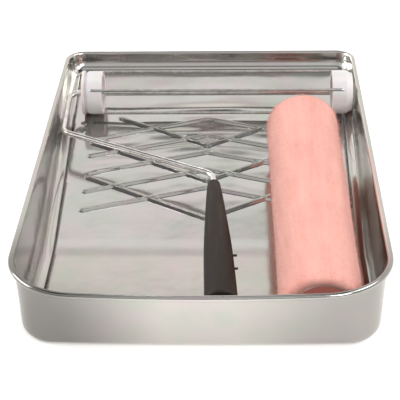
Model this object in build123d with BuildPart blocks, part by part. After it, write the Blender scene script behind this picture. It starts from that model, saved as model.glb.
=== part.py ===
"""Paint roller tray kit: a pressed steel tray, a wire roller frame and a 9 inch roller cover.

Frame: +Z up, +Y from the deep well to the shallow end, +X to the right, millimetres.
Origin: under the middle of the tray, on the surface that the tray stands on.
"""

import os
from math import atan, cos, degrees, radians, sin, tan

from build123d import *

# Tray: overall size, over the rolled rim
tray_width = 265.0
tray_length = 398.0
tray_height = 54.5
sheet = 0.7
curl_radius = 2.2
curl_gap = 55.0
curl_lap = 0.3
curl_shift = 0.1
side_draft = 4.5
front_draft = 15.5
back_draft = 7.0
front_bow = 7.2
front_corner = 47.0
back_corner = 14.0
front_corner_shrink = 27.0
back_corner_shrink = 3.0
bow_shrink = 4.8
floor_fillet = 9.5

# Ramp: where its plane meets the well floor, its height at the back, the bend between them
ramp_foot = -57.0
ramp_rise = 39.5
ramp_bend = 168.0

# Ribs pressed up into the ramp
rib_radius = 3.0
rib_height = 1.7
rib_reach = 98.5
arch_slope = 16.1
arch_pitch = 23.3
arch_first = 17.5
arch_count = 5
vee_slope = 27.6
vee_pitch = 46.8
vee_first = -21.1
vee_count = 3
rib_top = 112.5

# Legs and their rivets, under the ramp
leg_sheet = 1.0
leg_length = 28.0
leg_y = 100.5
leg_flange_out = 114.0
leg_flange_in = 98.0
leg_side_depth = 8.0
leg_corner = 1.8
rivet_x = 108.5
rivet_pitch = 11.5
rivet_radius = 1.5
rivet_head_radius = 3.0
rivet_head_height = 1.1
rivet_tail_radius = 2.6
rivet_tail_height = 0.9
rivet_play = 0.05

# Roller frame: the plane that holds the axle, the arms and the grip
axle_y = 121.4
axle_z = 48.5
frame_pitch = 7.36
rod_radius = 2.4
side_arm_x = -120.6
side_corner_v = -60.1
grip_corner_x = 6.1
grip_corner_v = -119.4
grip_yaw = 3.1
grip_bend = 11.0
side_bend = 10.0
axle_bend = 9.0
axle_end_x = 123.4
rod_chamfer = 0.5
tang_depth = 68.0
ear_x = -110.9
ear_width = 7.6
ear_height = 3.0
ear_thickness = 1.0

# Grip: distances run down the grip from its nose
grip_start = 11.8
grip_length = 140.4
grip_nose_round = (0.9, 4.3)
grip_nose = (3.0, 5.0)
grip_waist = (40.7, 8.1)
grip_belly = (73.6, 10.2)
grip_heel = (138.8, 12.0)
grip_nose_slope = 0.12
grip_heel_slope = 0.02
grip_mouth = 2.9
grip_edge = 1.6
bore_play = 0.02
socket_radius = 9.3
socket_depth = 32.0
thread_depth = 0.9
thread_pitch = 5.0
thread_width = 2.4
nib_radius = 0.9
nib_reach = 13.7
nib_places = (89.0, 103.6)

# Cage: distances run inwards from each cap's outer face
cap_radius = 18.6
cap_length = 17.5
cap_ring = 3.6
cap_face = 2.2
cap_taper = 2.6
flange_radius = 19.2
flange_width = 2.0
hub_radius = 8.5
hub_length = 15.5
outer_cap_x = 124.6
recess_radius = 7.0
recess_depth = 5.0
web_thickness = 1.8
web_sink = 0.5
wire_radius = 1.25
wire_circle = 18.0
wire_first = 59.4
wire_count = 4
hook_bend = 2.5
hook_depth = 7.0
hook_place = 7.0
wire_play = 0.05
bush_radius = 5.5
bush_play = 0.05
washer_radius = 6.0
washer_thickness = 0.9
nut_radius = 5.0
nut_thickness = 1.6
nut_slots = 6
nut_slot_width = 0.6
end_play = 0.12

# Roller cover
cover_length = 228.6
core_bore = 38.1
core_wall = 1.6
nap_depth = 8.6
nap_round = 6.0
nap_play = 0.05
cover_near = (82.3, -173.2, 30.5)
cover_pitch = 4.75
cover_yaw = 0.9

# Worked out from the above
half_width = tray_width / 2 - (2 * curl_radius - sheet + curl_shift)
half_length = tray_length / 2 - (2 * curl_radius - sheet + curl_shift)
wall_top = tray_height - curl_radius + curl_lap
ramp_angle = degrees(atan(ramp_rise / (half_length - ramp_foot)))
inner_cap_x = ear_x + ear_thickness / 2 + washer_thickness + 2 * end_play
axle = Axis((0, axle_y, axle_z), (1, 0, 0))
frame_plane = Plane(
    origin=(0, axle_y, axle_z),
    x_dir=(1, 0, 0),
    z_dir=(0, -sin(radians(frame_pitch)), cos(radians(frame_pitch))),
)


def ramp_height(y, lift=0.0):
    """Height of the ramp's underside at y, or of the surface `lift` above it."""
    return (y - ramp_foot) * tan(radians(ramp_angle)) + lift / cos(radians(ramp_angle))


def finish_piece(piece, label):
    """Name a finished piece and write its STEP file."""
    piece.part.label = label
    export_step(piece.part, f"parts/{label}.step")


# ---------------------------------------------------------------- tray


def pan_outline(height, inset):
    """Plan outline of the pan at a height: a rounded rectangle with its front bowed out."""
    drop = wall_top - height
    side = half_width - drop * tan(radians(side_draft)) - inset
    front = -half_length + drop * tan(radians(front_draft)) + inset
    back = half_length - drop * tan(radians(back_draft)) - inset
    depth = drop / wall_top
    bow = front_bow - bow_shrink * depth
    with BuildSketch(Plane.XY.offset(height)) as outline:
        with BuildLine():
            ThreePointArc((-side, front + bow), (0, front), (side, front + bow))
            Polyline((side, front + bow), (side, back), (-side, back), (-side, front + bow))
        make_face()
        corners = outline.vertices().group_by(Axis.Y)
        fillet(corners[0], front_corner - front_corner_shrink * depth - inset)
        corners = outline.vertices().group_by(Axis.Y)
        fillet(corners[-1], back_corner - back_corner_shrink * depth - inset)
    return outline.sketch


def pan_block(inset, top):
    """Solid bounded by the pan's outside (inset 0) or its inside (inset of the sheet)."""
    foot = ramp_foot - ramp_bend * tan(radians(ramp_angle / 2))
    arc_end = ramp_foot + ramp_bend * tan(radians(ramp_angle / 2)) * cos(radians(ramp_angle))
    arc_mid = foot + ramp_bend * sin(radians(ramp_angle / 2))
    arc_mid_height = ramp_bend * (1 - cos(radians(ramp_angle / 2)))
    reach = tray_length
    floor_edges = ShapeList()
    with BuildPart() as block:
        add(pan_outline(inset, inset))
        add(pan_outline(top, inset))
        loft(ruled=True)
        with BuildSketch(Plane.YZ):
            with BuildLine():
                ThreePointArc(
                    (foot, inset),
                    (arc_mid, arc_mid_height + inset),
                    (arc_end, ramp_height(arc_end, inset)),
                )
                Polyline(
                    (arc_end, ramp_height(arc_end, inset)),
                    (reach, ramp_height(reach, inset)),
                    (reach, inset - tray_height),
                    (foot, inset - tray_height),
                    (foot, inset),
                )
            make_face()
        extrude(amount=tray_width, both=True, mode=Mode.SUBTRACT)
        floors = block.faces().filter_by(lambda face: face.normal_at().Z < -0.9)
        for floor in floors:
            for edge in floor.edges():
                ends = (edge @ 0, edge @ 1)
                crossing = abs(ends[0].Y - ends[1].Y) < 0.01 and abs(ends[0].X + ends[1].X) < 0.01
                on_joint = crossing and ends[0].Y < half_length - front_corner and ends[0].Y > foot - 1
                if not on_joint:
                    floor_edges.append(edge)
        fillet(floor_edges, floor_fillet - inset)
    return block.part


def rib_lines():
    """Ends of the ribs, in plan: arches that peak on the centre line and vees between them."""
    lines = []
    for row in range(arch_count):
        peak = arch_first + row * arch_pitch
        outer = peak - rib_reach * tan(radians(arch_slope))
        for side in (-1, 1):
            lines.append(((0, peak), (side * rib_reach, outer)))
    for row in range(vee_count):
        foot = vee_first + row * vee_pitch
        reach = min(rib_reach, (rib_top - foot) / tan(radians(vee_slope)))
        for side in (-1, 1):
            lines.append(((0, foot), (side * reach, foot + reach * tan(radians(vee_slope)))))
    return lines


def rib_rods(radius):
    """Round bars along the ribs, sunk so that the ribs stand up by their height."""
    depth = sheet - (rib_radius - rib_height)
    with BuildPart() as bars:
        for start, end in rib_lines():
            first = Vector(start[0], start[1], ramp_height(start[1], depth))
            last = Vector(end[0], end[1], ramp_height(end[1], depth))
            run = last - first
            with BuildSketch(Plane(origin=first, z_dir=run.normalized())):
                Circle(radius)
            extrude(amount=run.length)
            with Locations(first, last):
                Sphere(radius)
    return bars.part


def rivet_places(side):
    """Where one leg's rivets stand, on the ramp's underside, square to it."""
    spots = []
    for step in (-0.5, 0.5):
        y = leg_y + step * rivet_pitch
        spots.append(Location((side * rivet_x, y, ramp_height(y)), (ramp_angle, 0, 0)))
    return spots


def make_rim():
    """The rolled rim: an open curl swept round the top of the wall."""
    path = pan_outline(wall_top - curl_lap, sheet - curl_radius - curl_shift).face().outer_wire()
    start = path @ 0
    outward = (path % 0).cross(Vector(0, 0, 1))
    if outward.dot(start) < 0:
        outward = -outward
    section = Plane(origin=start, x_dir=outward, z_dir=outward.cross(Vector(0, 0, 1)))
    with BuildPart() as rim:
        with BuildSketch(section):
            with BuildLine():
                outer = CenterArc((0, 0), curl_radius, 180 + curl_gap, 360 - curl_gap)
                inner = CenterArc((0, 0), curl_radius - sheet, 180 + curl_gap, 360 - curl_gap)
                Line(outer @ 0, inner @ 0)
                Line(outer @ 1, inner @ 1)
            make_face()
        sweep(path=path)
    return rim.part


def make_pan():
    """The pressing: well, ramp, ribs, walls and the rim rolled outwards."""
    outside = pan_block(0.0, wall_top)
    inside = pan_block(sheet, wall_top + 1)
    with BuildPart() as pan:
        add(outside)
        add(inside, mode=Mode.SUBTRACT)
        add(inside.intersect(rib_rods(rib_radius)))
        add(rib_rods(rib_radius - sheet), mode=Mode.SUBTRACT)
        for side in (-1, 1):
            with Locations(*rivet_places(side)):
                Cylinder(rivet_radius + rivet_play, 8 * sheet, mode=Mode.SUBTRACT)
        add(make_rim())
    return pan


def ground(y):
    """Height of the surface that the tray stands on."""
    return 0.0


def below_ground(y):
    """A height that is clear of the leg's foot."""
    return -leg_sheet


def below_flange(y):
    """Height of the flange's underside at y."""
    return ramp_height(y, -leg_sheet)


def leg_face(plane, foot, margin, lift):
    """Outline of a leg from the side: down to `foot`, in by `margin`, up to `lift` off the ramp."""
    near = leg_y - leg_length / 2 + margin
    far = leg_y + leg_length / 2 - margin
    with BuildSketch(plane) as outline:
        with BuildLine():
            Polyline(
                (near, foot(near)),
                (far, foot(far)),
                (far, ramp_height(far, lift)),
                (near, ramp_height(near, lift)),
                (near, foot(near)),
            )
        make_face()
    return outline.sketch


def make_leg(side):
    """A pressed leg: flange under the ramp, upright web and two stiffening sides."""
    inner = side * leg_flange_in
    outwards = (side, 0, 0)
    whole = leg_face(Plane.YZ.offset(inner), ground, 0, 0)
    pocket = leg_face(Plane.YZ.offset(inner + side * leg_sheet), below_ground, leg_sheet, -leg_sheet)
    flange = leg_face(Plane.YZ.offset(inner + side * leg_side_depth), below_flange, 0, 0)
    with BuildPart() as leg:
        extrude(whole, amount=leg_side_depth, dir=outwards)
        fillet(leg.edges().filter_by(Axis.Z).group_by(Axis.X)[0 if side > 0 else -1], leg_corner)
        extrude(pocket, amount=leg_side_depth, dir=outwards, mode=Mode.SUBTRACT)
        extrude(flange, amount=leg_flange_out - leg_flange_in - leg_side_depth, dir=outwards)
        with Locations(*rivet_places(side)):
            Cylinder(rivet_radius + rivet_play, 8 * leg_sheet, mode=Mode.SUBTRACT)
    return leg


def make_rivets(side):
    """The two rivets of one leg: a domed head on the ramp, a flat tail under the flange."""
    top = sheet + rivet_head_height
    bottom = -leg_sheet - rivet_tail_height
    with BuildPart() as rivet:
        with BuildSketch(Plane.XZ):
            with BuildLine():
                Polyline(
                    (0, top),
                    (0, bottom),
                    (rivet_tail_radius, bottom),
                    (rivet_tail_radius, -leg_sheet),
                    (rivet_radius, -leg_sheet),
                    (rivet_radius, sheet),
                    (rivet_head_radius, sheet),
                )
                TangentArc((0, top), (rivet_head_radius, sheet), tangent=(1, 0))
            make_face()
        revolve(axis=Axis.Z)
    with BuildPart() as rivets:
        with Locations(*rivet_places(side)):
            add(rivet.part)
    return rivets


# -------------------------------------------------------- roller frame


def along_grip(distance, across=0.0):
    """A point in the frame's plane: `distance` down the grip's axis from the rod's bend."""
    turn = radians(grip_yaw)
    x = grip_corner_x + distance * sin(turn) + across * cos(turn)
    v = grip_corner_v - distance * cos(turn) + across * sin(turn)
    return (x, v)


def grip_plane(distance):
    """Plane at `distance` down the grip: its x axis runs down the grip, its y axis across it."""
    here = Vector(*along_grip(distance))
    ahead = Vector(*along_grip(distance + 1))
    origin = frame_plane.from_local_coords(here)
    down = frame_plane.from_local_coords(ahead) - origin
    return Plane(origin=origin, x_dir=down, z_dir=frame_plane.z_dir)


def make_rod():
    """The rod: tang, bend above the grip, diagonal arm, side arm, axle and its two ears."""
    with BuildPart() as rod:
        with BuildLine(frame_plane) as route:
            FilletPolyline(
                along_grip(tang_depth),
                (grip_corner_x, grip_corner_v),
                (side_arm_x, side_corner_v),
                (side_arm_x, 0),
                (axle_end_x, 0),
                radius=[grip_bend, side_bend, axle_bend],
            )
        with BuildSketch(Plane(origin=route.line @ 0, z_dir=route.line % 0)):
            Circle(rod_radius)
        sweep(path=route.line)
        ends = rod.faces().sort_by(Axis.X)[-1].edges() + rod.faces().sort_by(Axis.Y)[0].edges()
        chamfer(ends, rod_chamfer)
        with Locations(frame_plane.location * Location((ear_x, 0, 0))):
            Box(ear_thickness, ear_width, ear_height)
    return rod


def make_grip():
    """The grip: a tapered moulding with the rod's bore, the pole socket and two side nibs."""
    plane = grip_plane(grip_start)
    axis = Axis(plane.origin, plane.x_dir)
    slopes = [(1, grip_nose_slope), (1, grip_heel_slope)]
    with BuildPart() as grip:
        with BuildSketch(plane):
            with BuildLine():
                Line((0, 0), (0, grip_mouth))
                ThreePointArc((0, grip_mouth), grip_nose_round, grip_nose)
                Spline(grip_nose, grip_waist, grip_belly, grip_heel, tangents=slopes)
                RadiusArc(grip_heel, (grip_length, grip_heel[1] - grip_edge), grip_edge)
                Polyline((grip_length, grip_heel[1] - grip_edge), (grip_length, 0), (0, 0))
            make_face()
        revolve(axis=axis)
        for place in nib_places:
            here = grip_plane(grip_start + place)
            with BuildSketch(Plane(origin=here.origin, z_dir=here.y_dir)):
                Circle(nib_radius)
            extrude(amount=nib_reach)
        with BuildSketch(plane):
            with Locations(((tang_depth - grip_start) / 2, (rod_radius + bore_play) / 2)):
                Rectangle(tang_depth - grip_start + 1, rod_radius + bore_play)
            with Locations((grip_length - socket_depth / 2, (socket_radius - thread_depth) / 2)):
                Rectangle(socket_depth, socket_radius - thread_depth)
            for turn in range(int(socket_depth / thread_pitch)):
                middle = grip_length - (turn + 0.5) * thread_pitch
                with Locations((middle, socket_radius / 2)):
                    Rectangle(thread_width, socket_radius)
        revolve(axis=axis, mode=Mode.SUBTRACT)
    return grip


def make_ring(start, end, bore, radius):
    """A plain ring on the axle between two places along it."""
    with BuildPart() as ring:
        with BuildSketch(Plane.YZ.offset(start)):
            with Locations((axle_y, axle_z)):
                Circle(radius)
                Circle(bore, mode=Mode.SUBTRACT)
        extrude(amount=end - start)
    return ring


def make_washer_inner():
    """The thrust washer between the rod's ears and the inner cap."""
    start = ear_x + ear_thickness / 2 + end_play
    return make_ring(start, start + washer_thickness, rod_radius + bush_play, washer_radius)


def make_washer_outer():
    """The thrust washer in the outer cap's recess."""
    start = outer_cap_x - recess_depth + end_play
    return make_ring(start, start + washer_thickness, rod_radius + bush_play, washer_radius)


def make_push_nut():
    """The spring retainer pushed onto the axle's end, its teeth parted by slots."""
    start = outer_cap_x - recess_depth + washer_thickness + 2 * end_play
    with BuildPart() as nut:
        with BuildSketch(Plane.YZ.offset(start)):
            with Locations((axle_y, axle_z)):
                Circle(nut_radius)
                Circle(rod_radius + bore_play, mode=Mode.SUBTRACT)
                with PolarLocations(nut_radius / 2, nut_slots):
                    Rectangle(nut_radius / 2, nut_slot_width, mode=Mode.SUBTRACT)
        extrude(amount=nut_thickness)
        outer_edge = nut.faces().sort_by(Axis.X)[-1].edges().sort_by(SortBy.LENGTH)[-1]
        chamfer(outer_edge, nut_thickness / 2)
    return nut


# ---------------------------------------------------------------- cage


def wire_angle(index):
    """Angle of a cage wire about the axle, from +Y towards +Z."""
    return radians(wire_first + index * 360 / wire_count)


def make_wire(index, radius):
    """One cage wire: straight along the cage, hooked inwards into each cap."""
    turn = wire_angle(index)
    plane = Plane(origin=(0, axle_y, axle_z), x_dir=(1, 0, 0), z_dir=(0, -sin(turn), cos(turn)))
    left = inner_cap_x + hook_place
    right = outer_cap_x - hook_place
    with BuildPart() as wire:
        with BuildLine(plane) as route:
            FilletPolyline(
                (left, wire_circle - hook_depth),
                (left, wire_circle),
                (right, wire_circle),
                (right, wire_circle - hook_depth),
                radius=hook_bend,
            )
        with BuildSketch(Plane(origin=route.line @ 0, z_dir=route.line % 0)):
            Circle(radius)
        sweep(path=route.line)
    return wire


def make_cap(face, inward, recess, flange):
    """An end cap: ring, end face, hub and webs, slotted for the wires, with its outer face at `face`."""
    inside = cap_radius - cap_ring
    mouth = [(0, bush_radius)]
    if recess:
        mouth = [(0, recess_radius), (recess_depth, recess_radius), (recess_depth, bush_radius)]
    with BuildPart() as cap:
        with BuildSketch(Plane(origin=(face, axle_y, axle_z), x_dir=(inward, 0, 0), z_dir=(0, -inward, 0))):
            with BuildLine():
                Polyline(
                    *mouth,
                    (hub_length, bush_radius),
                    (hub_length, hub_radius),
                    (cap_face, hub_radius),
                    (cap_face, inside),
                    (cap_length, inside),
                    (cap_length, cap_radius),
                    (2 * cap_taper, cap_radius),
                    (0, cap_radius - cap_taper),
                    mouth[0],
                )
            make_face()
            if flange:
                with Locations((flange_width / 2, flange_radius - cap_ring / 2)):
                    Rectangle(flange_width, cap_ring)
        revolve(axis=axle)
        for index in range(wire_count):
            turn = wire_angle(index + 0.5)
            radial = (0, cos(turn), sin(turn))
            across = Vector(inward, 0, 0).cross(Vector(*radial))
            with BuildSketch(Plane(origin=(face, axle_y, axle_z), x_dir=(inward, 0, 0), z_dir=across)):
                with Locations(((cap_face + hub_length) / 2, (hub_radius + inside) / 2)):
                    Rectangle(hub_length - cap_face - 2 * web_sink, inside - hub_radius + 2 * web_sink)
            extrude(amount=web_thickness / 2, both=True)
        for index in range(wire_count):
            add(make_wire(index, wire_radius + wire_play).part, mode=Mode.SUBTRACT)
    return cap


def make_bush(start, end):
    """A plain bearing bush, pressed into a cap and running on the axle."""
    return make_ring(start, end, rod_radius + bush_play, bush_radius - bore_play)


# --------------------------------------------------------- roller cover


def cover_plane():
    """Plane of the cover's near end, facing along the cover."""
    pitch = radians(cover_pitch)
    yaw = radians(cover_yaw)
    return Plane(
        origin=cover_near,
        x_dir=(cos(yaw), sin(yaw), 0),
        z_dir=(-sin(yaw) * cos(pitch), cos(yaw) * cos(pitch), sin(pitch)),
    )


def make_core():
    """The cover's core tube."""
    with BuildPart() as core:
        with BuildSketch(cover_plane()):
            Circle(core_bore / 2 + core_wall)
            Circle(core_bore / 2, mode=Mode.SUBTRACT)
        extrude(amount=cover_length)
    return core


def make_nap():
    """The nap sleeve round the core, with its ends rounded off."""
    core_radius = core_bore / 2 + core_wall
    with BuildPart() as nap:
        with BuildSketch(cover_plane()):
            Circle(core_radius + nap_depth)
        extrude(amount=cover_length)
        fillet(nap.edges(), nap_round)
        with BuildSketch(cover_plane()):
            Circle(core_radius + nap_play)
        extrude(amount=cover_length, mode=Mode.SUBTRACT)
    return nap


os.makedirs("parts", exist_ok=True)
finish_piece(make_pan(), "tray_pan")
finish_piece(make_leg(-1), "leg_left")
finish_piece(make_leg(1), "leg_right")
finish_piece(make_rivets(-1), "leg_rivets_left")
finish_piece(make_rivets(1), "leg_rivets_right")
finish_piece(make_rod(), "frame_rod")
finish_piece(make_grip(), "handle_grip")
finish_piece(make_washer_inner(), "washer_inner")
finish_piece(make_washer_outer(), "washer_outer")
finish_piece(make_push_nut(), "push_nut")
finish_piece(make_cap(inner_cap_x, 1, recess=False, flange=True), "cap_inner")
finish_piece(make_cap(outer_cap_x, -1, recess=True, flange=False), "cap_outer")
finish_piece(make_bush(inner_cap_x, inner_cap_x + hub_length), "bush_inner")
finish_piece(make_bush(outer_cap_x - hub_length, outer_cap_x - recess_depth), "bush_outer")
for number in range(wire_count):
    finish_piece(make_wire(number, wire_radius), f"cage_wire_{number + 1}")
finish_piece(make_core(), "cover_core")
finish_piece(make_nap(), "cover_nap")
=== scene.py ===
"""Looks of the paint roller tray kit: a tinplate tray, a wire roller frame and a pink cover."""

import math
import random

import bpy
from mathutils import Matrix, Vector, noise
from mathutils.geometry import delaunay_2d_cdt


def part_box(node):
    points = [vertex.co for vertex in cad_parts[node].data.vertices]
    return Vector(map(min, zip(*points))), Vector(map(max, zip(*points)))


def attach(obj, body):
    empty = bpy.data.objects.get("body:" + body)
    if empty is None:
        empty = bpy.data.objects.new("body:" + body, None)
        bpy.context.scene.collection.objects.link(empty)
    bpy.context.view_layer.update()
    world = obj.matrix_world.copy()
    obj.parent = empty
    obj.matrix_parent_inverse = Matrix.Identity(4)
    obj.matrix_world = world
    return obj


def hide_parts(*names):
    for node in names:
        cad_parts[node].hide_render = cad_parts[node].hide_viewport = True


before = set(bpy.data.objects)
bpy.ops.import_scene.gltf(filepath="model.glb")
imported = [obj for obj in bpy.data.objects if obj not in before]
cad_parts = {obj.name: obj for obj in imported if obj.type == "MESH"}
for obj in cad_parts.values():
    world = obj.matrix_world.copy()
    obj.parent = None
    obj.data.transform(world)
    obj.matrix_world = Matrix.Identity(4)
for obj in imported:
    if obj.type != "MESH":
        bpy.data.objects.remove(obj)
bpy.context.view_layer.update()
MM = 0.001

# Tray, in millimetres, as the CAD model has it
SHEET = 0.7
CURL_RADIUS = 2.2
CURL_SHIFT = 0.1
CURL_LIP = math.radians(-125)
SIDE_DRAFT = math.radians(4.5)
FRONT_DRAFT = math.radians(15.5)
BACK_DRAFT = math.radians(7)
FRONT_BOW = 7.2
FRONT_CORNER = 47.0
BACK_CORNER = 14.0
FRONT_CORNER_SHRINK = 27.0
BACK_CORNER_SHRINK = 3.0
BOW_SHRINK = 4.8
FLOOR_FILLET = 9.5
RAMP_FOOT = -57.0
RAMP_RISE = 39.5
RAMP_BEND = 168.0
RIB_HEIGHT = 1.2
RIB_SPREAD = 2.5
RIB_MERGE = 4
RIB_REACH = 98.5
RIB_TOP = 112.5
# Rows of ribs: slope in degrees, pitch, where the first one crosses the middle, and how many
ARCHES = (16.1, 23.3, 17.5, 5)
VEES = (27.6, 46.8, -21.1, 3)

# The pan's mesh: steps along its straight sides and corners, and across its bends
FRONT_STEPS = 92
SIDE_STEPS = 150
BACK_STEPS = 92
CORNER_STEPS = 22
WALL_STEPS = 9
FILLET_STEPS = 7
ROLL_STEPS = 13
FLOOR_SPACING = 2.0
UNDER_SPACING = 3.2
ROW_SHARE = 0.87
EDGE_GAP = 1.1
RIB_CLEARANCE = 1.4
RIB_ROWS = (0, 0.8, 1.6, 2.5, 3.5, 4.6)
UNDER_ROWS = (0, 1.6, 3.6)
ROW_CELL = 0.55
TOUCH_ROUNDS = 8
FOOT_ROUNDS = 6

# Dents and waves pressed into the thin sheet
WAVE_HEIGHT = 0.34
WALL_WAVE = 0.4
PILLOW_HEIGHT = 0.2
RIPPLE_HEIGHT = 0.1
RIPPLE_PITCH = 17.0
RIPPLE_CENTRE = (-5, 80)
RIPPLE_REACH = (72, 36)
PUCKER_HEIGHT = 0.05
# How far in from the walls the waves start, and over what distances they grow
SIDE_MARGIN = 14
FRONT_MARGIN = 26
BACK_MARGIN = 12
EDGE_BLEND = 26
RAMP_BLEND = (-40, 10)
PILLOW_BLEND = 13
# Oval dents across the ramp's top: place, half width and height
DENTS = (
    (1, 127, 44, 0.85),
    (3, 108, 27, 0.72),
    (-32, 92, 31, 0.74),
    (46, 91, 26, 0.74),
    (0, 73, 34, 0.5),
)
DENT_LENGTH = 6.0

# Roller cover
COVER_LENGTH = 228.6
NAP_NEAR = -6.2
NAP_FAR = 231.8
NAP_MOUTH = ((0.4, 20.75), (-0.4, 20.6), (-0.8, 19.2), (-1.8, 18.6), (-3.4, 19.3))
NAP_RADIUS = 28.7
NAP_ROUND = 4.6
NAP_AROUND = 190
NAP_ALONG = 210
NAP_CROWDING = 0.022
# The pile's lumps, streaks and tufts: scale around, scale along and height
NAP_NOISES = ((2.2, 0.022, 0.3), (11, 0.05, 0.22), (26, 0.8, 0.3))
PILE_CLEARANCE = 0.3
FIBRE_SEED = 11
FIBRE_COUNT = 22000
FIBRE_LENGTH = (1.4, 2.9)
FIBRE_WIDTH = (0.07, 0.14)
FIBRE_TAPER = 0.75
FIBRE_ROOT = 0.7
FIBRE_LEAN = 0.42
FIBRE_CURL = 0.5
CURL_SHARE = 0.35
FIBRE_SECTIONS = 3
END_SHARE = 0.16
END_DEPTH = 6
END_LEAN = 0.7
END_BLEND = 7
COVER_PITCH = math.radians(4.75)
COVER_YAW = math.radians(0.9)
COVER_NEAR = Vector((82.3, -173.2, 30.5))

# The studio's surround behind the tray and in front of it: height, brightness and warmth
SKY_BACK = (
    (0.0, 0.9, 0.4),
    (0.5, 1.2, 1.6),
    (0.56, 1.2, 1.4),
    (0.59, 0.86, 1.5),
    (0.65, 0.88, 1.2),
    (0.68, 1.2, 0.3),
    (0.74, 1.2, 0.4),
    (0.775, 1.15, 0.6),
    (0.795, 0.5, 0.3),
    (0.81, 0.06, 0.0),
    (0.95, 0.08, 0.0),
    (0.985, 0.8, 0.3),
    (1.0, 0.9, 0.3),
)
SKY_FRONT = (
    (0.0, 0.12, 0.6),
    (0.15, 0.15, 0.6),
    (0.3, 0.65, 0.4),
    (0.6, 0.8, 0.3),
    (0.82, 0.75, 0.3),
    (0.93, 0.15, 0.0),
    (0.985, 0.8, 0.3),
    (1.0, 0.9, 0.3),
)
SKY_TURN = (-0.5, 0.45)
WARM_GREEN = 0.03
WARM_BLUE = 0.06

# Softboxes: name, place, size and power
PANELS = (
    ("left_panel", (-2.6, 0.2, 1.0), (1.7, 1.3), 48),
    ("right_panel", (1.75, -0.15, 2.0), (1.3, 1.3), 22),
    ("front_panel", (1.35, -2.0, 1.9), (1.2, 1.2), 40),
    ("key_lamp", (-0.27, 1.36, 2.1), (0.16, 0.12), 0.6),
)

# The studio's floor in millimetres, and the camera in metres and radians
FLOOR_REACH = 6000
FLOOR_DROP = 0.4
LENS = 111.8
SENSOR_WIDTH = 36
CAMERA_PLACE = (0.02689, -0.86036, 0.51939)
CAMERA_PITCH = math.radians(30.57)
CAMERA_YAW = math.radians(-2.10)
CAMERA_ROLL = math.radians(-1.12)

# Sockets of a colour Mix node
MIX_FIRST = 6
MIX_SECOND = 7
MIX_RESULT = 2

# Where a dark reflection is painted on the tin at the front corners, in metres: height and reach,
# and each corner's strength
DARK_REFLECTION_HEIGHT = 0.02
DARK_REFLECTION_REACH = (0.03, 0.115)
DARK_REFLECTION_CORNERS = ((-1, 1.0), (1, 0.6))
# Where a pale reflection is painted on the tin's right wall: how far its normal points left, and
# its place in shares of the half width
PALE_REFLECTION_FACING = (-0.2, -0.8)
PALE_REFLECTION_PLACE = (0.6, 0.8)

_, pan_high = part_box("tray_pan")
HALF_WIDTH = pan_high.x / MM - (2 * CURL_RADIUS - SHEET + CURL_SHIFT)
HALF_LENGTH = pan_high.y / MM - (2 * CURL_RADIUS - SHEET + CURL_SHIFT)
ROLL_HEIGHT = pan_high.z / MM - CURL_RADIUS
RAMP_ANGLE = math.atan(RAMP_RISE / (HALF_LENGTH - RAMP_FOOT))


# ------------------------------------------------------------- helpers


def smooth_step(low, high, value):
    """0 below low, 1 above high, smooth between them."""
    share = min(max((value - low) / (high - low), 0.0), 1.0)
    return share * share * (3 - 2 * share)


def new_piece(name, points, faces, material):
    """A smooth mesh object from points in millimetres."""
    mesh = bpy.data.meshes.new(name)
    mesh.from_pydata([Vector(p) * MM for p in points], [], faces)
    mesh.validate()
    mesh.materials.append(material)
    mesh.shade_smooth()
    piece = bpy.data.objects.new(name, mesh)
    bpy.context.scene.collection.objects.link(piece)
    return piece


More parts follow.
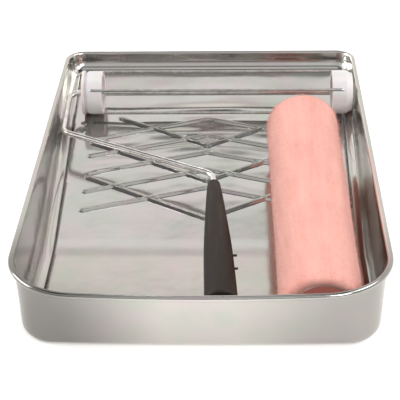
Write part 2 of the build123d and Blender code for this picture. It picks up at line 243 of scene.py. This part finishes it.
class Nodes:
    """A material under construction, with short calls for the nodes that this scene uses."""

    def __init__(self, name):
        self.material = bpy.data.materials.new(name)
        self.material.use_nodes = True
        self.tree = self.material.node_tree
        self.shader = self.tree.nodes["Principled BSDF"]
        self.coords = self.add("ShaderNodeTexCoord").outputs["Object"]

    def add(self, kind, **values):
        node = self.tree.nodes.new(kind)
        for key, value in values.items():
            setattr(node, key, value)
        return node

    def link(self, source, target):
        self.tree.links.new(source, target)

    def stretch(self, scale, turn=(0, 0, 0)):
        """Object coordinates, turned and stretched."""
        mapping = self.add("ShaderNodeMapping")
        mapping.inputs["Rotation"].default_value = turn
        mapping.inputs["Scale"].default_value = scale
        self.link(self.coords, mapping.inputs["Vector"])
        return mapping.outputs["Vector"]

    def noise(self, scale, detail=3.0, rough=0.55, where=None, distortion=0.0):
        node = self.add("ShaderNodeTexNoise")
        node.inputs["Scale"].default_value = scale
        node.inputs["Detail"].default_value = detail
        node.inputs["Roughness"].default_value = rough
        node.inputs["Distortion"].default_value = distortion
        self.link(where or self.coords, node.inputs["Vector"])
        return node.outputs["Fac"]

    def ramp(self, source, stops):
        """A colour ramp: stops is a list of (place, colour)."""
        node = self.add("ShaderNodeValToRGB")
        elements = node.color_ramp.elements
        while len(elements) < len(stops):
            elements.new(0.5)
        for element, (place, colour) in zip(elements, stops):
            element.position = place
            element.color = (*colour, 1)
        self.link(source, node.inputs["Fac"])
        return node.outputs["Color"]

    def fade(self, source, start, end, low=0.0, high=1.0, kind="SMOOTHSTEP"):
        """source, from start to end, made to run from low to high."""
        node = self.add("ShaderNodeMapRange", interpolation_type=kind)
        node.inputs["From Min"].default_value = start
        node.inputs["From Max"].default_value = end
        node.inputs["To Min"].default_value = low
        node.inputs["To Max"].default_value = high
        self.link(source, node.inputs["Value"])
        return node.outputs["Result"]

    def span(self, source, low, high):
        """The middle of a noise, from about 0.3 to 0.7, made to run from low to high."""
        return self.fade(source, 0.3, 0.7, low, high, "LINEAR")

    def part(self, vector, axis):
        """One of a vector's three parts."""
        node = self.add("ShaderNodeSeparateXYZ")
        self.link(vector, node.inputs["Vector"])
        return node.outputs[axis]

    def combine(self, operation, first, second):
        """Two values joined by a Math node."""
        node = self.add("ShaderNodeMath", operation=operation)
        self.link(first, node.inputs[0])
        self.link(second, node.inputs[1])
        return node.outputs["Value"]

    def mix(self, factor, first, second):
        node = self.add("ShaderNodeMix", data_type="RGBA")
        self.link(factor, node.inputs[0])
        for source, place in ((first, MIX_FIRST), (second, MIX_SECOND)):
            socket = node.inputs[place]
            if isinstance(source, tuple):
                socket.default_value = (*source, 1)
            else:
                self.link(source, socket)
        return node.outputs[MIX_RESULT]

    def bump(self, height, strength, distance, below=None):
        node = self.add("ShaderNodeBump")
        node.inputs["Strength"].default_value = strength
        node.inputs["Distance"].default_value = distance
        self.link(height, node.inputs["Height"])
        if below:
            self.link(below, node.inputs["Normal"])
        return node.outputs["Normal"]

    def painted_dark_corners(self):
        """1 at the tray's front left corner, less at its front right one, 0 away from them: where
        a dark reflection is painted on the tin.
        """
        masks = []
        for side, strength in DARK_REFLECTION_CORNERS:
            corner = self.add("ShaderNodeVectorMath", operation="DISTANCE")
            self.link(self.coords, corner.inputs[0])
            place = (side * HALF_WIDTH * MM, -HALF_LENGTH * MM, DARK_REFLECTION_HEIGHT)
            corner.inputs[1].default_value = place
            masks.append(self.fade(corner.outputs["Value"], *DARK_REFLECTION_REACH, strength, 0.0))
        return self.combine("MAXIMUM", *masks)

    def painted_pale_wall(self):
        """1 on the inner face of the tray's right wall, where a pale reflection is painted on the
        tin, 0 elsewhere.
        """
        normal = self.add("ShaderNodeNewGeometry").outputs["Normal"]
        inward = self.fade(self.part(normal, "X"), *PALE_REFLECTION_FACING)
        start, end = (share * HALF_WIDTH * MM for share in PALE_REFLECTION_PLACE)
        side = self.fade(self.part(self.coords, "X"), start, end)
        return self.combine("MULTIPLY", inward, side)

    def set(self, **values):
        """Numbers and colours go on the shader's own sockets; anything else is linked."""
        for key, value in values.items():
            socket = self.shader.inputs[key.replace("_", " ")]
            if isinstance(value, (int, float)):
                socket.default_value = value
            elif isinstance(value, tuple):
                socket.default_value = (*value, 1)
            else:
                self.link(value, socket)
        return self.material


# ----------------------------------------------------------- materials


def tinplate():
    """Bright tin in faint pink and green clouds, with a dark reflection painted at the front
    corners and a pale reflection painted on the right wall.
    """
    made = Nodes("tinplate")
    haze = made.noise(14, 4, 0.6)
    tint = made.noise(26, 3, 0.6)
    smear = made.noise(60, 3, 0.5, made.stretch((1, 0.15, 1)))
    lines = made.noise(900, 2, 0.6, made.stretch((1, 0.02, 1)))
    spots = made.noise(260, 2, 0.7)
    pink, plain, green = (0.54, 0.485, 0.495), (0.51, 0.50, 0.475), (0.48, 0.50, 0.455)
    colour = made.ramp(tint, [(0.36, pink), (0.5, plain), (0.63, green)])
    worn = made.mix(made.span(smear, 0.0, 0.5), colour, (0.55, 0.53, 0.51))
    # Painted reflection: the right wall's inner face is painted pale, for the light the tin would
    # mirror there
    painted_pale = made.mix(made.painted_pale_wall(), worn, (0.86, 0.86, 0.82))
    # Painted reflection: the front corners are painted dark, for the darkness the tin would mirror
    # there
    painted_dark = made.mix(made.painted_dark_corners(), painted_pale, (0.2, 0.194, 0.185))
    dents = made.bump(made.noise(38, 2, 0.5), 0.05, 0.004)
    fine = made.bump(lines, 0.035, 0.0006, dents)
    normal = made.bump(spots, 0.03, 0.0004, fine)
    rough = made.span(haze, 0.09, 0.18)
    return made.set(
        Base_Color=painted_dark, Metallic=1.0, Roughness=rough, Normal=normal, Anisotropic=0.25
    )


def plated_steel(name, tone, rough, scale):
    """Zinc-plated wire or plate: fine texture from the wire drawing, and cloudy plating."""
    made = Nodes(name)
    cloud = made.noise(scale, 3, 0.6)
    speck = made.noise(scale * 9, 2, 0.6)
    dull = tuple(0.8 * channel for channel in tone)
    colour = made.ramp(cloud, [(0.35, dull), (0.6, tone)])
    normal = made.bump(speck, 0.12, 0.0003, made.bump(cloud, 0.1, 0.0006))
    sheen = made.span(speck, rough - 0.05, rough + 0.09)
    return made.set(Base_Color=colour, Metallic=1.0, Roughness=sheen, Normal=normal)


def black_plastic():
    """Moulded black-brown plastic with a fine grain, scuffed lighter in long streaks."""
    made = Nodes("black_plastic")
    grain = made.noise(1300, 2, 0.6)
    scuff = made.noise(70, 4, 0.65, made.stretch((1, 0.12, 1)))
    dark, plain, pale = (0.018, 0.013, 0.010), (0.028, 0.022, 0.017), (0.052, 0.044, 0.036)
    colour = made.ramp(scuff, [(0.35, dark), (0.55, plain), (0.75, pale)])
    normal = made.bump(grain, 0.25, 0.0003, made.bump(scuff, 0.08, 0.0008))
    rough = made.span(scuff, 0.42, 0.58)
    return made.set(Base_Color=colour, Roughness=rough, Specular_IOR_Level=0.2, Normal=normal)


def white_plastic():
    """Milky polythene: soft, a little see-through, with flow marks."""
    made = Nodes("white_plastic")
    flow = made.noise(90, 3, 0.6, made.stretch((0.3, 1, 1)), 0.6)
    pits = made.noise(900, 2, 0.5)
    colour = made.ramp(flow, [(0.35, (0.65, 0.625, 0.63)), (0.65, (0.71, 0.69, 0.69))])
    normal = made.bump(pits, 0.12, 0.0003, made.bump(flow, 0.1, 0.0008))
    return made.set(
        Base_Color=colour,
        Roughness=made.span(flow, 0.3, 0.45),
        Subsurface_Weight=0.4,
        Subsurface_Scale=0.004,
        Normal=normal,
    )


def nylon():
    """Plain off-white bearing nylon."""
    made = Nodes("nylon")
    flow = made.noise(200, 3)
    colour = made.ramp(flow, [(0.35, (0.66, 0.63, 0.56)), (0.65, (0.76, 0.73, 0.66))])
    normal = made.bump(made.noise(900, 2), 0.15, 0.0003)
    return made.set(Base_Color=colour, Roughness=0.42, Normal=normal)


def core_board():
    """Wound core: dark red board with its spiral joint and paper fibres, and a faint painted glow
    that lights its shaded bore.
    """
    made = Nodes("core_board")
    fibres = made.noise(420, 3, 0.6, made.stretch((1, 0.25, 1), (0, 0, 0.6)))
    blotch = made.noise(70, 3, 0.6)
    colour = made.ramp(blotch, [(0.3, (0.72, 0.40, 0.35)), (0.7, (0.80, 0.48, 0.42))])
    shade = made.mix(made.span(fibres, 0.0, 0.45), colour, (0.64, 0.34, 0.29))
    wind = made.add("ShaderNodeTexWave", bands_direction="Y", wave_profile="SAW")
    wind.inputs["Scale"].default_value = 9
    made.link(made.stretch((1, 1, 1), (COVER_PITCH, 0, 0.7)), wind.inputs["Vector"])
    normal = made.bump(fibres, 0.35, 0.0004, made.bump(wind.outputs["Fac"], 0.2, 0.0006))
    # Painted light: a faint glow lifts the core where it lies in shade inside the cover
    made.set(Emission_Color=(0.9, 0.5, 0.43), Emission_Strength=0.09)
    return made.set(Base_Color=shade, Roughness=0.72, Normal=normal)


def pink_nap():
    """Knitted pile: salmon pink in soft patches, with paler streaks along the cover."""
    made = Nodes("pink_nap")
    streak = made.noise(150, 4, 0.65, made.stretch((1, 0.07, 1), (COVER_PITCH, 0, 0)))
    patch = made.noise(34, 3, 0.6)
    tuft = made.noise(900, 3, 0.65)
    deep, plain, pale = (0.70, 0.335, 0.285), (0.73, 0.362, 0.305), (0.76, 0.395, 0.335)
    colour = made.ramp(patch, [(0.32, deep), (0.5, plain), (0.7, pale)])
    shade = made.mix(made.span(streak, 0.0, 0.6), colour, (0.82, 0.47, 0.41))
    normal = made.bump(tuft, 0.45, 0.001, made.bump(streak, 0.2, 0.0012))
    return made.set(
        Base_Color=shade,
        Roughness=0.92,
        Sheen_Weight=1.0,
        Sheen_Roughness=0.28,
        Sheen_Tint=(1.0, 0.80, 0.76),
        Specular_IOR_Level=0.1,
        Normal=normal,
    )


# ------------------------------------------------------------ the tray


def ramp_slope(y):
    """Angle of the floor at y: level in the well, a long bend, then the ramp."""
    start = RAMP_FOOT - RAMP_BEND * math.tan(RAMP_ANGLE / 2)
    return min(max(math.asin(min(max((y - start) / RAMP_BEND, 0.0), 1.0)), 0.0), RAMP_ANGLE)


def floor_height(y, lift):
    """Height of the floor's surface that stands `lift` above its underside."""
    start = RAMP_FOOT - RAMP_BEND * math.tan(RAMP_ANGLE / 2)
    slope = ramp_slope(y)
    if slope < RAMP_ANGLE:
        return lift + RAMP_BEND * (1 - math.cos(slope)) if y > start else lift
    return (y - RAMP_FOOT) * math.tan(RAMP_ANGLE) + lift / math.cos(RAMP_ANGLE)


def rib_lines():
    """The ribs in plan, as pairs of end points."""
    lines = []
    slope, pitch, first, count = ARCHES
    for row in range(count):
        peak = first + row * pitch
        end = peak - RIB_REACH * math.tan(math.radians(slope))
        lines += [(Vector((0, peak)), Vector((side * RIB_REACH, end))) for side in (-1, 1)]
    slope, pitch, first, count = VEES
    for row in range(count):
        foot = first + row * pitch
        rise = math.tan(math.radians(slope))
        reach = min(RIB_REACH, (RIB_TOP - foot) / rise)
        end = foot + reach * rise
        lines += [(Vector((0, foot)), Vector((side * reach, end))) for side in (-1, 1)]
    return lines


RIBS = rib_lines()


def gap_to_line(here, start, end):
    """Distance in plan from a point to the line between two others."""
    run = end - start
    share = min(max((here - start).dot(run) / run.length_squared, 0.0), 1.0)
    return (here - start - run * share).length


def rib_rise(x, y):
    """How far the ribs lift the floor at a point. They merge softly where they cross."""
    total = 0.0
    here = Vector((x, y))
    for start, end in RIBS:
        gap = gap_to_line(here, start, end)
        if gap < RIB_SPREAD:
            total += (1 - (gap / RIB_SPREAD) ** 2) ** (2 * RIB_MERGE)
    return RIB_HEIGHT * total ** (1 / RIB_MERGE)


def rib_gap(x, y):
    """Distance from a point to the nearest rib's line."""
    here = Vector((x, y))
    return min(gap_to_line(here, start, end) for start, end in RIBS)


def corner_arc(centre, radius, start, end):
    """Points round a corner, from one angle to another, without its last one."""
    angles = [start + (end - start) * k / CORNER_STEPS for k in range(CORNER_STEPS)]
    x, y = centre
    return [Vector((x + radius * math.cos(a), y + radius * math.sin(a))) for a in angles]


def straight(start, end, count):
    """Evenly spaced points along a line, without its last one."""
    return [start.lerp(end, k / count) for k in range(count)]


def pan_outline(height, inset):
    """Plan outline of the pan at a height, anticlockwise from the front's left end."""
    drop = ROLL_HEIGHT - height
    side = HALF_WIDTH - drop * math.tan(SIDE_DRAFT) - inset
    front = -HALF_LENGTH + drop * math.tan(FRONT_DRAFT) + inset
    back = HALF_LENGTH - drop * math.tan(BACK_DRAFT) - inset
    depth = drop / ROLL_HEIGHT
    front_radius = FRONT_CORNER - FRONT_CORNER_SHRINK * depth - inset
    back_radius = BACK_CORNER - BACK_CORNER_SHRINK * depth - inset
    bow = (FRONT_BOW - BOW_SHRINK * depth) / side**2
    touch = side - front_radius
    for _ in range(TOUCH_ROUNDS):
        slope = 2 * bow * touch
        touch = side - front_radius + front_radius * slope / math.hypot(1, slope)
    tilt = math.atan(2 * bow * touch)
    points = [
        Vector((x, front + bow * x * x))
        for x in (touch * (2 * k / FRONT_STEPS - 1) for k in range(FRONT_STEPS))
    ]
    centre_y = front + bow * touch * touch + front_radius * math.cos(tilt)
    quarter = math.pi / 2
    near = side - front_radius
    far = side - back_radius
    far_y = back - back_radius
    points += corner_arc((near, centre_y), front_radius, tilt - quarter, 0)
    points += straight(Vector((side, centre_y)), Vector((side, far_y)), SIDE_STEPS)
    points += corner_arc((far, far_y), back_radius, 0, quarter)
    points += straight(Vector((far, back)), Vector((-far, back)), BACK_STEPS)
    points += corner_arc((-far, far_y), back_radius, quarter, 2 * quarter)
    points += straight(Vector((-side, far_y)), Vector((-side, centre_y)), SIDE_STEPS)
    points += corner_arc((-near, centre_y), front_radius, 2 * quarter, 3 * quarter - tilt)
    return points


def inward_normals(ring):
    """Unit normals of a closed plan outline, pointing into it."""
    normals = []
    for index, here in enumerate(ring):
        run = ring[(index + 1) % len(ring)] - ring[index - 1]
        normals.append(Vector((-run.y, run.x)).normalized())
    return normals


def wall_waves(point, outward, share):
    """The wall's shallow waves: none at its fillet or its rim."""
    wave = noise.noise(Vector((point.x, point.y, point.z * 2)) * 0.021 + Vector((5, 3, 8)))
    ripple = noise.noise(Vector((point.x, point.y, point.z)) * 0.06)
    offset = WALL_WAVE * (wave + 0.4 * ripple) * math.sin(math.pi * share)
    return point + outward * offset


def wall_profile(low, high, inward, lift, fillet):
    """One upright strip of a wall's surface: rim to floor, with the fillet at its foot."""
    rise = Vector((*high, ROLL_HEIGHT)) - Vector((*low, 0))
    height = lift
    for _ in range(FOOT_ROUNDS):
        here = low.lerp(high, height / ROLL_HEIGHT)
        height = floor_height(here.y, lift)
    foot = Vector((*low.lerp(high, height / ROLL_HEIGHT), height))
    up = rise.normalized()
    along = Vector((inward.x, inward.y, math.tan(ramp_slope(foot.y)) * inward.y)).normalized()
    half = up.angle(along) / 2
    start = foot + up * fillet / math.tan(half)
    centre = foot + (up + along).normalized() * fillet / math.sin(half)
    end = foot + along * fillet / math.tan(half)
    top = Vector((*high, ROLL_HEIGHT))
    outward = Vector((-inward.x, -inward.y, 0))
    strip = []
    for step in range(WALL_STEPS):
        share = step / WALL_STEPS
        strip.append(wall_waves(top.lerp(start, share), outward, share))
    turn = (start - centre).angle(end - centre)
    for step in range(FILLET_STEPS + 1):
        share = step / FILLET_STEPS
        first = math.sin((1 - share) * turn) / math.sin(turn)
        second = math.sin(share * turn) / math.sin(turn)
        strip.append(centre + (start - centre) * first + (end - centre) * second)
    return strip


def roll_profile(top, inward, index):
    """The rolled rim at one place, from the wall's inside over the roll, into its lip and back."""
    outward = Vector((-inward.x, -inward.y, 0))
    centre = Vector((*top, ROLL_HEIGHT)) + outward * CURL_RADIUS
    pucker = PUCKER_HEIGHT * noise.noise(Vector((index * 0.9, 0, 2)))
    strip = []
    for radius, start, end, steps in (
        (CURL_RADIUS + pucker, math.pi, CURL_LIP, ROLL_STEPS),
        (CURL_RADIUS - SHEET, CURL_LIP, math.pi, ROLL_STEPS // 2),
    ):
        for step in range(steps + 1):
            angle = start + (end - start) * step / steps
            spoke = outward * math.cos(angle) + Vector((0, 0, math.sin(angle)))
            strip.append(centre + radius * spoke)
    return strip


def inside_margin(x, y):
    """Rough distance in from the floor's edge."""
    side = HALF_WIDTH - SIDE_MARGIN - abs(x)
    return min(side, y + HALF_LENGTH - FRONT_MARGIN, HALF_LENGTH - BACK_MARGIN - y)


def floor_waves(x, y):
    """The floor's shallow waves: long bulges all over, and pillows, ripples and oval dents."""
    edge = smooth_step(0, EDGE_BLEND, inside_margin(x, y))
    ramp = smooth_step(*RAMP_BLEND, y)
    aside = (x - RIPPLE_CENTRE[0]) / RIPPLE_REACH[0]
    ahead = (y - RIPPLE_CENTRE[1]) / RIPPLE_REACH[1]
    middle = math.exp(-(aside**2) - ahead**2)
    bulge = noise.noise(Vector((x * 0.012, y * 0.024, 0.5)))
    wave = noise.noise(Vector((x * 0.02, y * 0.06, 3.1)))
    swing = 6 * noise.noise(Vector((x * 0.016, y * 0.02, 7.7)))
    ripple = math.sin(2 * math.pi * y / RIPPLE_PITCH + swing)
    pillow = PILLOW_HEIGHT * ramp * smooth_step(0, PILLOW_BLEND, rib_gap(x, y))
    dents = WAVE_HEIGHT * ((0.3 + 0.7 * ramp) * bulge + 0.5 * ramp * wave)
    for centre_x, centre_y, half_width, height in DENTS:
        reach = ((x - centre_x) / half_width) ** 2 + ((y - centre_y) / DENT_LENGTH) ** 2
        dents += height * math.exp(-reach)
    return edge * (pillow + dents + RIPPLE_HEIGHT * middle * ripple)


def floor_points(loop, spacing, ribbed):
    """Plan points for the floor's mesh: rows along the ribs, and a triangular grid elsewhere."""
    kept = []
    taken = set()

    def keep(here):
        cell = (round(here.x / ROW_CELL), round(here.y / ROW_CELL))
        if cell not in taken:
            taken.add(cell)
            kept.append(here)

    offsets = RIB_ROWS if ribbed else UNDER_ROWS
    for start, end in RIBS:
        run = end - start
        across = Vector((-run.y, run.x)).normalized()
        count = int(run.length / spacing)
        for step in range(-2, count + 3):
            middle = start + run * step / count
            for offset in offsets:
                for side in (-1, 1):
                    keep(middle + across * offset * side)
    row_height = spacing * ROW_SHARE
    for row in range(int(2 * HALF_LENGTH / row_height)):
        y = row * row_height - HALF_LENGTH
        for column in range(int(2 * HALF_WIDTH / spacing)):
            x = (column + 0.5 * (row % 2)) * spacing - HALF_WIDTH
            if rib_gap(x, y) > RIB_SPREAD + RIB_CLEARANCE:
                kept.append(Vector((x, y)))
    inner = [point + inward * EDGE_GAP for point, inward in zip(loop, inward_normals(loop))]
    return [point for point in kept if inside(point, inner)]


def inside(point, ring):
    """Whether a plan point lies inside a closed outline."""
    x, y = point
    odd = False
    last = ring[-1]
    for here in ring:
        if (here.y > y) != (last.y > y):
            crossing = (last.x - here.x) * (y - here.y) / (last.y - here.y) + here.x
            if x < crossing:
                odd = not odd
        last = here
    return odd


def strips_to_mesh(strips):
    """Points and quads of a closed band of equal strips."""
    points = [point for strip in strips for point in strip]
    length = len(strips[0])
    faces = []
    for index in range(len(strips)):
        after = (index + 1) % len(strips)
        for step in range(length - 1):
            a = index * length + step
            b = after * length + step
            faces.append((a, b, b + 1, a + 1))
    return points, faces


def fill_floor(points, faces, loop, lift, spacing, upward, ribbed):
    """Adds the floor inside a loop of points that are already in the mesh."""
    ring = [points[index].xy for index in loop]
    extra = floor_points(ring, spacing, ribbed)
    edges = [(k, (k + 1) % len(ring)) for k in range(len(ring))]
    made = delaunay_2d_cdt(ring + extra, edges, [], 1, 1e-5)
    vertices, _, triangles = made[:3]
    places = list(loop)
    for vertex in vertices[len(ring) :]:
        rise = rib_rise(vertex.x, vertex.y) + floor_waves(vertex.x, vertex.y)
        places.append(len(points))
        points.append(Vector((vertex.x, vertex.y, floor_height(vertex.y, lift) + rise)))
    for face in triangles:
        corners = tuple(places[k] for k in face)
        faces.append(corners if upward else corners[::-1])


def make_tray(material):
    """The pan as one closed skin: inside, rolled rim and outside."""
    inner_low = pan_outline(0, SHEET)
    inner_high = pan_outline(ROLL_HEIGHT, SHEET)
    outer_low = pan_outline(0, 0)
    outer_high = pan_outline(ROLL_HEIGHT, 0)
    inwards = inward_normals(inner_high)
    strips = []
    fillet = FLOOR_FILLET - SHEET
    for index, inward in enumerate(inwards):
        inner = wall_profile(inner_low[index], inner_high[index], inward, SHEET, fillet)
        outer = wall_profile(outer_low[index], outer_high[index], inward, 0, FLOOR_FILLET)
        roll = roll_profile(inner_high[index], inward, index)
        strips.append(inner[:0:-1] + roll + outer[1:])
    points, faces = strips_to_mesh(strips)
    length = len(strips[0])
    inner_loop = [k * length for k in range(len(strips))]
    outer_loop = [k * length + length - 1 for k in range(len(strips))]
    fill_floor(points, faces, inner_loop, SHEET, FLOOR_SPACING, True, True)
    fill_floor(points, faces, outer_loop, 0, UNDER_SPACING, False, False)
    tray = new_piece("tray_skin", points, faces, material)
    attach(tray, "tray")
    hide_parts("tray_pan")


# ----------------------------------------------------------- the cover


def cover_axes():
    """The cover's near end and its three directions: along, across and up."""
    along = Vector(
        (
            -math.sin(COVER_YAW) * math.cos(COVER_PITCH),
            math.cos(COVER_YAW) * math.cos(COVER_PITCH),
            math.sin(COVER_PITCH),
        )
    )
    across = Vector((math.cos(COVER_YAW), math.sin(COVER_YAW), 0))
    return COVER_NEAR, along, across, across.cross(along)


def cover_point(distance, angle, radius):
    """A point of the cover: along it from its near end, round it and out from its axis."""
    near, along, across, up = cover_axes()
    return near + along * distance + (across * math.cos(angle) + up * math.sin(angle)) * radius


def lie_on_tray(point, clearance):
    """Presses a point of the pile up off the tray's floor and back off its front wall."""
    height = max(point.z, floor_height(point.y, SHEET) + RIB_HEIGHT + clearance)
    depth = (ROLL_HEIGHT - height) / ROLL_HEIGHT
    bow = (FRONT_BOW - BOW_SHRINK * depth) * (point.x / HALF_WIDTH) ** 2
    wall = (ROLL_HEIGHT - height) * math.tan(FRONT_DRAFT) - HALF_LENGTH + SHEET + bow + clearance
    return Vector((point.x, max(point.y, wall), height))


def nap_radius(distance, angle):
    """The pile's outer radius: rounded ends, soft lumps and lengthwise streaks."""
    around = Vector((math.cos(angle), math.sin(angle), 0))
    radius = NAP_RADIUS
    for round_scale, long_scale, height in NAP_NOISES:
        place = around * round_scale + Vector((0, 0, distance * long_scale))
        radius += height * noise.noise(place)
    edge = min(distance - NAP_NEAR, NAP_FAR - distance)
    if edge < NAP_ROUND:
        radius -= NAP_ROUND - math.sqrt(NAP_ROUND**2 - (NAP_ROUND - max(edge, 0)) ** 2)
    return radius


def make_nap(material):
    """The pile as one lumpy sleeve, open at both ends where the core shows."""
    stations = []
    for step in range(NAP_ALONG + 1):
        share = step / NAP_ALONG
        even = share - NAP_CROWDING * math.sin(2 * math.pi * share)
        stations.append(NAP_NEAR + (NAP_FAR - NAP_NEAR) * even)
    strips = []
    for turn in range(NAP_AROUND):
        angle = 2 * math.pi * turn / NAP_AROUND
        strip = [cover_point(place, angle, radius) for place, radius in NAP_MOUTH]
        for distance in stations:
            strip.append(cover_point(distance, angle, nap_radius(distance, angle)))
        for place, radius in reversed(NAP_MOUTH):
            strip.append(cover_point(COVER_LENGTH - place, angle, radius))
        strips.append([lie_on_tray(point, PILE_CLEARANCE) for point in strip])
    points, faces = strips_to_mesh(strips)
    return new_piece("nap_sleeve", points, faces, material)


def make_fibres(material):
    """Loose fibres that stand off the pile, thin and bent, thickest at the two cut ends."""
    random.seed(FIBRE_SEED)
    points = []
    faces = []
    _, along, across, up = cover_axes()
    for _ in range(FIBRE_COUNT):
        angle = random.uniform(0, 2 * math.pi)
        distance = random.uniform(NAP_NEAR, NAP_FAR)
        if random.random() < END_SHARE:
            near = NAP_NEAR + random.uniform(0, END_DEPTH)
            far = NAP_FAR - random.uniform(0, END_DEPTH)
            distance = random.choice((near, far))
        radial = across * math.cos(angle) + up * math.sin(angle)
        root = cover_point(distance, angle, nap_radius(distance, angle) - FIBRE_ROOT)
        lean = Vector([random.gauss(0, FIBRE_LEAN) for _ in range(3)])
        far_lean = smooth_step(NAP_FAR - END_BLEND, NAP_FAR, distance)
        near_lean = smooth_step(-NAP_NEAR - END_BLEND, -NAP_NEAR, -distance)
        end_lean = along * END_LEAN * (far_lean - near_lean)
        direction = (radial + lean + end_lean).normalized()
        curl = Vector([random.gauss(0, FIBRE_CURL) for _ in range(3)])
        side = direction.cross(Vector([random.gauss(0, 1) for _ in range(3)])).normalized()
        length = random.uniform(*FIBRE_LENGTH)
        width = random.uniform(*FIBRE_WIDTH)
        base = len(points)
        for step in range(FIBRE_SECTIONS):
            share = step / (FIBRE_SECTIONS - 1)
            middle = root + direction * length * share + curl * length * CURL_SHARE * share**2
            middle = lie_on_tray(middle, PILE_CLEARANCE)
            spread = width * (1 - FIBRE_TAPER * share)
            points += [middle - side * spread, middle + side * spread]
        for low in range(base, len(points) - 2, 2):
            faces.append((low, low + 1, low + 3, low + 2))
    fibres = new_piece("nap_fibres", points, faces, material)
    fibres.visible_shadow = False
    return fibres


def dress_cover(material):
    """The pile and its loose fibres stand for the CAD nap."""
    sleeve = make_nap(material)
    fibres = make_fibres(material)
    for piece in (sleeve, fibres):
        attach(piece, "roller_cover")
    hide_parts("cover_nap")


# ------------------------------------------------------- the CAD nodes


def paint(material, *names):
    """Gives CAD nodes their material."""
    for name in names:
        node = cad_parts[name]
        for place in range(len(node.material_slots)):
            node.material_slots[place].material = material


def paint_nodes():
    """Every CAD node that shows gets its material."""
    washers = ("washer_inner", "washer_outer", "push_nut")
    wires = tuple(f"cage_wire_{number}" for number in range(1, 5))
    steels = (
        ("leg_steel", (0.66, 0.65, 0.62), 0.3, 40, ("leg_left", "leg_right")),
        ("rivet_steel", (0.30, 0.29, 0.28), 0.35, 160, ("leg_rivets_left", "leg_rivets_right")),
        ("plated_rod", (0.86, 0.84, 0.82), 0.16, 120, ("frame_rod",)),
        ("plated_small", (0.74, 0.73, 0.70), 0.24, 160, washers),
        ("plated_wire", (0.60, 0.585, 0.56), 0.2, 150, wires),
    )
    for name, tone, rough, scale, nodes in steels:
        paint(plated_steel(name, tone, rough, scale), *nodes)
    paint(black_plastic(), "handle_grip")
    paint(white_plastic(), "cap_inner", "cap_outer")
    paint(nylon(), "bush_inner", "bush_outer")
    paint(core_board(), "cover_core")


# ------------------------------------------------------ studio and camera


def make_floor():
    """A plain pale floor."""
    made = Nodes("studio_floor")
    made.set(Base_Color=(0.93, 0.915, 0.89), Roughness=0.8, Specular_IOR_Level=0.1)
    made.set(Emission_Color=(1.0, 0.985, 0.96), Emission_Strength=0.36)
    signs = ((-1, -1), (1, -1), (1, 1), (-1, 1))
    corners = [(x * FLOOR_REACH, y * FLOOR_REACH, 0) for x, y in signs]
    floor = new_piece("studio_floor", corners, [(0, 1, 2, 3)], made.material)
    floor.location.z = -FLOOR_DROP * MM


def add_softbox(name, place, size, power):
    """A rectangular light that faces the tray and can't itself be seen."""
    light = bpy.data.lights.new(name, "AREA")
    light.shape = "RECTANGLE"
    light.size, light.size_y = size
    light.energy = power
    lamp = bpy.data.objects.new(name, light)
    lamp.location = place
    lamp.rotation_euler = (-Vector(place)).to_track_quat("-Z", "Y").to_euler()
    lamp.visible_camera = False
    bpy.context.scene.collection.objects.link(lamp)


def sky_band(tree, height, stops):
    """Colour of the studio's surround by height: 0 at the horizon, 1 overhead."""
    band = tree.nodes.new("ShaderNodeValToRGB")
    elements = band.color_ramp.elements
    while len(elements) < len(stops):
        elements.new(0.5)
    for element, (place, level, warmth) in zip(elements, stops):
        green = (1 - WARM_GREEN * warmth) * level
        blue = (1 - WARM_BLUE * warmth) * level
        element.position = place
        element.color = (level, green, blue, 1)
    tree.links.new(height, band.inputs["Fac"])
    return band.outputs["Color"]


def light_studio():
    """A surround that is brightest low behind the tray, three softboxes and a small key lamp."""
    world = bpy.data.worlds.new("studio")
    world.use_nodes = True
    tree = world.node_tree
    coords = tree.nodes.new("ShaderNodeTexCoord")
    parts = tree.nodes.new("ShaderNodeSeparateXYZ")
    tree.links.new(coords.outputs["Generated"], parts.inputs["Vector"])
    depth = tree.nodes.new("ShaderNodeMapRange")
    depth.interpolation_type = "SMOOTHSTEP"
    depth.inputs["From Min"].default_value, depth.inputs["From Max"].default_value = SKY_TURN
    tree.links.new(parts.outputs["Y"], depth.inputs["Value"])
    blend = tree.nodes.new("ShaderNodeMix")
    blend.data_type = "RGBA"
    tree.links.new(depth.outputs["Result"], blend.inputs[0])
    for stops, socket in ((SKY_FRONT, MIX_FIRST), (SKY_BACK, MIX_SECOND)):
        tree.links.new(sky_band(tree, parts.outputs["Z"], stops), blend.inputs[socket])
    tree.links.new(blend.outputs[MIX_RESULT], tree.nodes["Background"].inputs["Color"])
    bpy.context.scene.world = world
    for panel in PANELS:
        add_softbox(*panel)


def place_camera():
    """Looks down at the tray from beyond its deep end."""
    camera = bpy.data.objects.new("camera", bpy.data.cameras.new("camera"))
    camera.data.lens = LENS
    camera.data.sensor_width = SENSOR_WIDTH
    level = math.cos(CAMERA_PITCH)
    ahead = Vector(
        (math.sin(CAMERA_YAW) * level, math.cos(CAMERA_YAW) * level, -math.sin(CAMERA_PITCH))
    )
    right = ahead.cross(Vector((0, 0, 1))).normalized()
    up = right.cross(ahead)
    across = right * math.cos(CAMERA_ROLL) + up * math.sin(CAMERA_ROLL)
    above = up * math.cos(CAMERA_ROLL) - right * math.sin(CAMERA_ROLL)
    turn = camera.matrix_world.to_3x3()
    for axis, direction in enumerate((across, above, -ahead)):
        turn.col[axis] = direction
    camera.matrix_world = turn.to_4x4()
    camera.location = CAMERA_PLACE
    bpy.context.scene.collection.objects.link(camera)
    bpy.context.scene.camera = camera


bpy.context.scene.view_settings.view_transform = "Standard"
place_camera()
make_floor()
light_studio()
make_tray(tinplate())
dress_cover(pink_nap())
paint_nodes()
